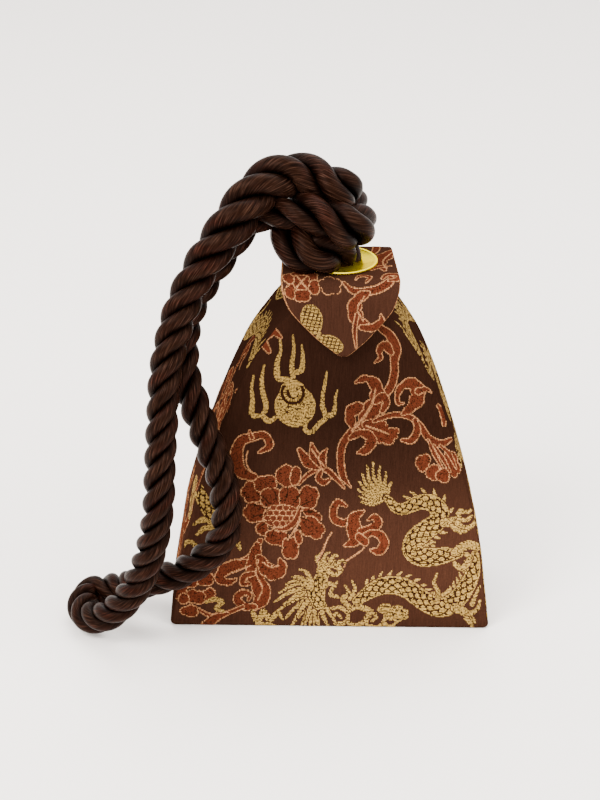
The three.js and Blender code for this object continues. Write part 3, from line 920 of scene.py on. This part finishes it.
def readTable(rows, column, at):
    # cubic between the rows of a table, with the slope that the neighbouring rows give
    table = np.asarray(rows, float)
    keys, values = table[:, 0], table[:, column]
    last = len(keys) - 1
    low, high = np.maximum(np.arange(last + 1) - 1, 0), np.minimum(np.arange(last + 1) + 1, last)
    slopes = (values[high] - values[low]) / (keys[high] - keys[low])
    i = np.clip(np.searchsorted(keys, at, side="right") - 1, 0, last - 1)
    span = keys[i + 1] - keys[i]
    t = np.clip((at - keys[i]) / span, 0, 1)
    return ((2 * t**3 - 3 * t**2 + 1) * values[i] + (t**3 - 2 * t**2 + t) * span * slopes[i]
            + (3 * t**2 - 2 * t**3) * values[i + 1] + (t**3 - t**2) * span * slopes[i + 1])


def halfWidthAt(z):
    return body["halfWidth"] * readTable(body["profile"], 1, np.asarray(z) / body["height"])


def halfDepthAt(z):
    return body["halfDepth"] * readTable(body["profile"], 2, np.asarray(z) / body["height"])


def rounding(away, radius):
    # how far a rounded edge has drawn in, at this distance from the edge's own line
    near = np.clip(radius - away, 0, radius)
    return radius - np.sqrt(radius**2 - near**2)


def panelHeights(v):
    # heights of the rows, which lie closer together where the foot and the rim are rounded
    base = np.linspace(0, v["height"], v["rows"])
    foot = v["footRound"][0] * (1 - np.cos(np.linspace(0, np.pi / 2, 7)))
    rim = v["height"] - v["rimRound"] * (1 - np.cos(np.linspace(0, np.pi / 2, 5)))
    return np.concatenate([foot, base[(base > foot[-1] + 0.2) & (base < rim[-1] - 0.2)], rim[::-1]])


def panelSection(v, z, broad, columns):
    # for each row an outer line with rounded corners and a slight crown, and a plain inner line
    top = rounding(v["height"] - z, v["rimRound"])
    width = halfWidthAt(z) - rounding(z, v["footRound"][0]) - top
    depth = halfDepthAt(z) - rounding(z, v["footRound"][1]) - top
    a, b = (width, depth) if broad else (depth, width)
    innerA, innerB = a - v["wall"] + 2 * top, b - v["wall"] + 2 * top
    r = v["edgeRound"]
    bend = np.linspace(np.pi / 4, 0, 5)
    flat = np.linspace(-1, 1, columns)[1:-1]
    rowsA, rowsB = a[:, None], b[:, None]
    left = np.stack([-(rowsA - r) - r * np.sin(bend), rowsB - r + r * np.cos(bend)], -1)
    face = np.stack([flat * (rowsA - r), rowsB + 0 * flat], -1)
    right = left[:, ::-1] * (-1, 1)
    outer = np.concatenate([left, face, right], 1)
    share = np.clip(outer[..., 0] / (rowsA - r), -1, 1)
    puff = v["crown"] * (1 - share**2) * np.sin(np.pi * np.clip(z / v["height"], 0, 1))[:, None] ** 0.7
    outer[..., 1] += puff
    back = np.linspace(1, -1, 9)
    return outer, np.stack([back * innerA[:, None], innerB[:, None] + 0 * back], -1)


def makePanel(name, v, side, broad, columns, chartAt, seed, material):
    # its section carried up the bell-shaped profile, with mitred ends and the figures standing up
    z = panelHeights(v)
    outer, inner = panelSection(v, z, broad, columns)
    count = outer.shape[1]
    # the chart is read at the middle of each square of the outer face
    middleA = (outer[:-1, :-1, 0] + outer[1:, 1:, 0]) / 2
    middleZ = ((z[:-1] + z[1:]) / 2)[:, None] + 0 * middleA
    chart = chartAt(middleA * (-side if broad else side), middleZ)
    outer[..., 1] += standUp(chart)
    loop = np.concatenate([outer, inner], 1)
    loop[..., 0] -= np.clip(loop[..., 0], -1, 1) * v["seam"]
    # the front looks towards -Y, the gussets towards -X and +X
    if broad:
        points = np.stack([-side * loop[..., 0], side * loop[..., 1], z[:, None] + 0 * loop[..., 0]], -1)
    else:
        points = np.stack([side * loop[..., 1], side * loop[..., 0], z[:, None] + 0 * loop[..., 0]], -1)
    rows, around = loop.shape[:2]
    faces = gridFaces(rows, around, True).tolist()
    faces += [list(range(around - 1, -1, -1)), list(range((rows - 1) * around, rows * around))]
    colours, gilt = yarnValues(chart, seed)
    plain = np.array([*yarns["ground"][0], 1.0])
    allColours = np.tile(plain, (len(faces), 1))
    allGilt = np.zeros(len(faces))
    cell = np.arange(rows - 1)[:, None] * around + np.arange(count - 1)
    allColours[cell.ravel()], allGilt[cell.ravel()] = colours, gilt
    points = points.reshape(-1, 3)
    return makePiece(name, points * mm, outwards(points, faces), material,
                     faceValues=[("yarn", "FLOAT_COLOR", allColours), ("gilt", "FLOAT", allGilt)])


cloth = clothMaterial()
panels = [
    # name, side, broad, columns, chart, seed, CAD node
    ("front_cover", -1, True, 286, frontChart, 11, "front_panel"),
    ("back_cover", 1, True, 286, backChart, 12, "back_panel"),
    ("left_cover", -1, False, 130, leftChart, 13, "left_gusset"),
    ("right_cover", 1, False, 130, rightChart, 14, "right_gusset"),
]
for name, side, broad, columns, chartAt, seed, node in panels:
    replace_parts(makePanel(name, body, side, broad, columns, chartAt, seed, cloth), node)
    print(name, "made")


flap = {
    "rise": 8, "thickness": 2, "halfBack": 26.3, "halfFront": 28, "tongueDrop": 37.5, "tongueLean": 2.5,
    "backDrop": 34, "backRound": 9, "folds": (8, 7), "standOff": 3.0, "seam": 0.3, "holeBack": -2,
    "holeRadius": 9.3, "rows": 250, "columns": 136, "edge": 1.3,
    # share of the tongue's length: share of the flap's half width
    "tongue": [
        (0, 1), (0.15, 0.975), (0.36, 0.88), (0.5, 0.75), (0.64, 0.585),
        (0.78, 0.41), (0.9, 0.225), (0.97, 0.11), (1, 0.04),
    ],
}
flapTop = body["height"] + flap["rise"]


def flapLine(v):
    # middle line in the YZ plane: up the back, over the mouth and down the front, with two rounded folds
    half = v["thickness"] / 2
    depth = [float(halfDepthAt(min(z, body["height"]))) for z in
             (flapTop - v["backDrop"], flapTop, flapTop, flapTop - v["tongueDrop"])]
    corners = np.array([
        (depth[0] + v["seam"] + half, flapTop - v["backDrop"]),
        (depth[1] + v["seam"] + half, flapTop - half),
        (-depth[2] - v["standOff"] - half, flapTop - half),
        (-depth[3] - v["standOff"] - half, flapTop - v["tongueDrop"]),
    ])
    parts = [corners[:1]]
    for i in (1, 2):
        before = corners[i - 1] - corners[i]
        after = corners[i + 1] - corners[i]
        before = corners[i] + before / np.linalg.norm(before) * v["folds"][i - 1]
        after = corners[i] + after / np.linalg.norm(after) * v["folds"][i - 1]
        t = np.linspace(0, 1, 30)[:, None]
        parts.append((1 - t) ** 2 * before + 2 * t * (1 - t) * corners[i] + t**2 * after)
    return evenly(np.vstack(parts + [corners[3:]]), v["rows"])


def flapWidths(v, run, length):
    # half width and sideways lean along the flap: rounded at the back end, a tongue at the front end
    topLength = length - v["tongueDrop"] - v["backDrop"]
    overTop = np.clip((run - v["backDrop"]) / topLength, 0, 1)
    half = v["halfBack"] + (v["halfFront"] - v["halfBack"]) * overTop
    drop = 1 - np.clip(run / v["backRound"], 0, 1)
    half = half - v["backRound"] * (1 - np.sqrt(1 - drop**2 * 0.98))
    along = np.clip((run - length + v["tongueDrop"]) / v["tongueDrop"], 0, 1)
    return half * np.where(along > 0, readTable(v["tongue"], 1, along), 1), v["tongueLean"] * along**2


def ropeHole(v, x, middle):
    # which squares stay, and how far the corners in the hole are pushed out onto its circle
    level = np.abs(middle[..., 1] - (flapTop - v["thickness"] / 2)) < 2
    fromHole = np.hypot(x, middle[..., 0] - v["holeBack"])
    inside = (fromHole < v["holeRadius"]) & level
    kept = ~(inside[:-1, :-1] & inside[1:, :-1] & inside[:-1, 1:] & inside[1:, 1:])
    return kept.ravel(), np.where(inside, v["holeRadius"] / np.maximum(fromHole, 1e-6), 1)


def makeFlap(v, chartAt, seed, material):
    # two layers of one grid, drawn together at the edge, with a round hole for the rope
    line, length = flapLine(v)
    slope = directionsAlong(line)
    normal = np.stack([slope[:, 1], -slope[:, 0]], -1)
    run = np.linspace(0, length, v["rows"])
    half, lean = flapWidths(v, run, length)
    share = np.linspace(-1, 1, v["columns"])
    x = lean[:, None] + half[:, None] * share
    # distance from the edge of the cloth, across and along, shapes its rounded turned edge
    fromSide = half[:, None] * (1 - np.abs(share))
    fromEnd = np.minimum(run, length - run)[:, None] + 0 * share
    away = np.minimum(fromSide * 0.92, fromEnd)
    thick = v["thickness"] / 2 - rounding(away, v["edge"]) * (v["thickness"] / 2 - 0.12) / v["edge"]
    middle = np.stack([line[:, :1] + 0 * share, line[:, 1:] + 0 * share], -1)
    middleX = (x[:-1, :-1] + x[1:, 1:]) / 2
    middleRun = ((run[:-1] + run[1:]) / 2)[:, None] + 0 * share[1:]
    chart = chartAt(middleX, middleRun - (length - v["tongueDrop"]), away[:-1, :-1])
    upper = middle + normal[:, None] * (thick + standUp(chart))[..., None]
    lower = middle - normal[:, None] * thick[..., None]
    kept, pull = ropeHole(v, x, middle)
    layers = []
    for layer in (upper, lower):
        y = v["holeBack"] + (layer[..., 0] - v["holeBack"]) * pull
        layers.append(np.stack([x * pull, y, layer[..., 1]], -1).reshape(-1, 3))
    points = np.concatenate(layers)
    shift = v["rows"] * v["columns"]
    top = gridFaces(v["rows"], v["columns"], False)[kept]
    faces = np.concatenate([top, top[:, ::-1] + shift, closingWalls(top, shift)])
    used = np.unique(faces)
    renumber = np.zeros(len(points), int)
    renumber[used] = np.arange(len(used))
    colours, gilt = yarnValues(chart, seed)
    plain = np.tile(np.array([*yarns["ground"][0], 1.0]), (len(faces) - len(top), 1))
    allColours = np.concatenate([colours[kept], plain])
    allGilt = np.concatenate([gilt[kept], np.zeros(len(plain))])
    points, faces = points[used], renumber[faces].tolist()
    piece = makePiece("flap_cover", points * mm, outwards(points, faces), material,
                      faceValues=[("yarn", "FLOAT_COLOR", allColours), ("gilt", "FLOAT", allGilt)])
    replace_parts(piece, "closing_flap")


makeFlap(flap, flapChart, 15, cloth)
print("flap made")


base = {"thickness": 2.4, "gap": 0.3, "round": 0.8, "foot": 0.02, "columns": 60, "rows": 26}


def makeBase(v, material):
    # a covered board: two grids that close on each other round a softened edge
    half = np.array([float(halfWidthAt(v["thickness"])), float(halfDepthAt(v["thickness"]))])
    half -= body["wall"] + v["gap"]
    x, y = np.meshgrid(np.linspace(-1, 1, v["columns"]) * half[0], np.linspace(-1, 1, v["rows"]) * half[1])
    x = np.sign(x) * half[0] * np.abs(x / half[0]) ** 0.8  # closer together towards the edge
    y = np.sign(y) * half[1] * np.abs(y / half[1]) ** 0.7
    away = np.minimum(half[0] - np.abs(x), half[1] - np.abs(y))
    draw = rounding(away, v["round"])
    top = np.stack([x, y, v["thickness"] - draw], -1).reshape(-1, 3)
    low = np.stack([x, y, draw + v["foot"]], -1).reshape(-1, 3)
    faces = gridFaces(v["rows"], v["columns"], False)
    shift = len(top)
    points = np.concatenate([top, low])
    every = np.concatenate([faces, faces[:, ::-1] + shift, closingWalls(faces, shift)]).tolist()
    piece = makePiece("base_cover", points * mm, outwards(points, every), material)
    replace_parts(piece, "base_panel")


def baseMaterial():
    # plain twill: fine slanting ribs over a slightly uneven brown
    material, nodes, links, shader = newMaterial("baseTwill")
    place = addNode(nodes, "ShaderNodeTexCoord").outputs["Object"]
    uneven = stretchedNoise(nodes, links, place, (40, 40, 40), 3.0)
    tone = colourAt(nodes, links, uneven, [(0.3, (0.030, 0.016, 0.012)), (0.7, (0.062, 0.034, 0.025))])
    links.new(tone, shader.inputs["Base Color"])
    mapping = addNode(nodes, "ShaderNodeMapping", {"Rotation": (0, 0, 0.8)})
    wave = addNode(nodes, "ShaderNodeTexWave", {"Scale": 420.0, "Distortion": 0.6})
    links.new(place, mapping.inputs["Vector"])
    links.new(mapping.outputs["Vector"], wave.inputs["Vector"])
    raised(nodes, links, shader, wave.outputs["Fac"], 0.5, 0.0002)
    shader.inputs["Roughness"].default_value = 0.75
    return material


makeBase(base, baseMaterial())
print("base made")


disc = {
    "hole": 8.7, "radius": 18.3, "thick": 1.0, "rim": 1.4, "rise": 0.3, "lift": 0.3, "back": -2,
    "eased": 0.4, "corner": 0.15, "holeCorner": 0.1, "sides": 160,
}


def brassMaterial(v):
    # lemon-gold plate with a satin rub mark round its centre
    material, nodes, links, shader = newMaterial("satinBrass")
    place = addNode(nodes, "ShaderNodeTexCoord").outputs["Object"]
    mapping = addNode(nodes, "ShaderNodeMapping", {"Location": (0, -v["back"] * mm, 0)})
    turned = {"wave_type": "RINGS", "rings_direction": "Z"}
    rings = addNode(nodes, "ShaderNodeTexWave", {"Scale": 700.0, "Distortion": 1.5}, **turned)
    links.new(place, mapping.inputs["Vector"])
    links.new(mapping.outputs["Vector"], rings.inputs["Vector"])
    wear = stretchedNoise(nodes, links, place, (240, 240, 240), 4.0)
    tone = colourAt(nodes, links, wear, [(0.3, (0.96, 0.73, 0.002)), (0.7, (1.0, 0.84, 0.004))])
    links.new(tone, shader.inputs["Base Color"])
    raised(nodes, links, shader, rings.outputs["Fac"], 0.08, 0.00005)
    shader.inputs["Metallic"].default_value = 1.0
    shader.inputs["Roughness"].default_value = 0.36
    shader.inputs["Specular Tint"].default_value = (1.0, 0.80, 0.10, 1)
    return material


def makeDisc(v, material):
    # a turned section: flat plate, raised rounded rim and an eased edge at the rope hole
    t = np.linspace(0, np.pi, 9)
    rimX = v["radius"] - v["rim"] / 2 + np.cos(t) * v["rim"] / 2
    rimZ = v["thick"] + np.sin(t) * v["rise"]
    hole = np.linspace(0, np.pi / 2, 5)
    holeX = v["hole"] + v["eased"] * (1 - np.sin(hole))
    holeZ = v["thick"] - v["eased"] * (1 - np.cos(hole))
    section = np.concatenate([
        [(v["radius"] - v["corner"], 0), (v["radius"], v["corner"])], np.stack([rimX, rimZ], -1),
        np.stack([holeX, holeZ], -1), [(v["hole"], v["holeCorner"]), (v["hole"] + v["holeCorner"], 0)],
    ])
    turn = np.linspace(0, 2 * np.pi, v["sides"], endpoint=False)[:, None]
    points = np.stack([section[:, 0] * np.cos(turn), section[:, 0] * np.sin(turn) + v["back"],
                       section[:, 1] + flapTop + v["lift"] + 0 * turn], -1)
    rows, around = points.shape[:2]
    faces = (gridFaces(rows + 1, around, True) % (rows * around)).tolist()  # the last row is the first
    points = points.reshape(-1, 3)
    piece = makePiece("brass_disc", points * mm, outwards(points, faces), material)
    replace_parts(piece, "eyelet_disc")


makeDisc(disc, brassMaterial(disc))


def steelMaterial():
    # pressed steel, a little scuffed
    material, nodes, links, shader = newMaterial("snapSteel")
    place = addNode(nodes, "ShaderNodeTexCoord").outputs["Object"]
    scuffs = stretchedNoise(nodes, links, place, (300, 300, 900), 5.0)
    tone = colourAt(nodes, links, scuffs, [(0.3, (0.30, 0.30, 0.29)), (0.7, (0.52, 0.52, 0.50))])
    links.new(tone, shader.inputs["Base Color"])
    shader.inputs["Metallic"].default_value = 1.0
    shader.inputs["Roughness"].default_value = 0.38
    return material


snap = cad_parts["flap_snap"]
steel = steelMaterial()
for slot in snap.material_slots:
    slot.material = steel
print("disc and snap finished")


studio = {
    "floor": (0.99, 0.935, 0.89), "size": 6, "world": (1.0, 0.98, 0.96), "worldStrength": 2.35,
    # place, aim, size, watts, colour
    "lamps": [
        ((-0.9, -0.9, 1.35), (0, 0, 0.12), 0.7, 50, (1.0, 0.97, 0.93)),
        ((1.1, -0.7, 1.2), (0, 0, 0.1), 1.1, 20, (1.0, 0.99, 0.98)),
        ((0.1, 0.5, 1.5), (0, 0, 0.15), 1.0, 22, (1.0, 0.99, 0.97)),
    ],
}


def setStudio(v):
    # a pale floor, an even world and three soft lamps
    half = v["size"] / 2
    corners = [(-half, -half, 0), (half, -half, 0), (half, half, 0), (-half, half, 0)]
    mesh = bpy.data.meshes.new("studioFloor")
    mesh.from_pydata(corners, [], [(0, 1, 2, 3)])
    floor = bpy.data.objects.new("studioFloor", mesh)
    bpy.context.scene.collection.objects.link(floor)
    material, _, _, shader = newMaterial("paleFloor")
    shader.inputs["Base Color"].default_value = (*v["floor"], 1)
    shader.inputs["Roughness"].default_value = 0.9
    mesh.materials.append(material)
    world = bpy.data.worlds.new("softStudio")
    world.use_nodes = True
    sky = world.node_tree.nodes["Background"]
    sky.inputs["Color"].default_value = (*v["world"], 1)
    sky.inputs["Strength"].default_value = v["worldStrength"]
    bpy.context.scene.world = world
    for k, (place, aim, size, watts, colour) in enumerate(v["lamps"]):
        data = bpy.data.lights.new(f"softLamp{k}", "AREA")
        data.size, data.energy, data.color = size, watts, colour
        lamp = bpy.data.objects.new(f"softLamp{k}", data)
        lamp.location = place
        lamp.rotation_mode = "QUATERNION"
        lamp.rotation_quaternion = (Vector(aim) - Vector(place)).to_track_quat("-Z", "Y")
        bpy.context.scene.collection.objects.link(lamp)


setStudio(studio)
print("studio set")
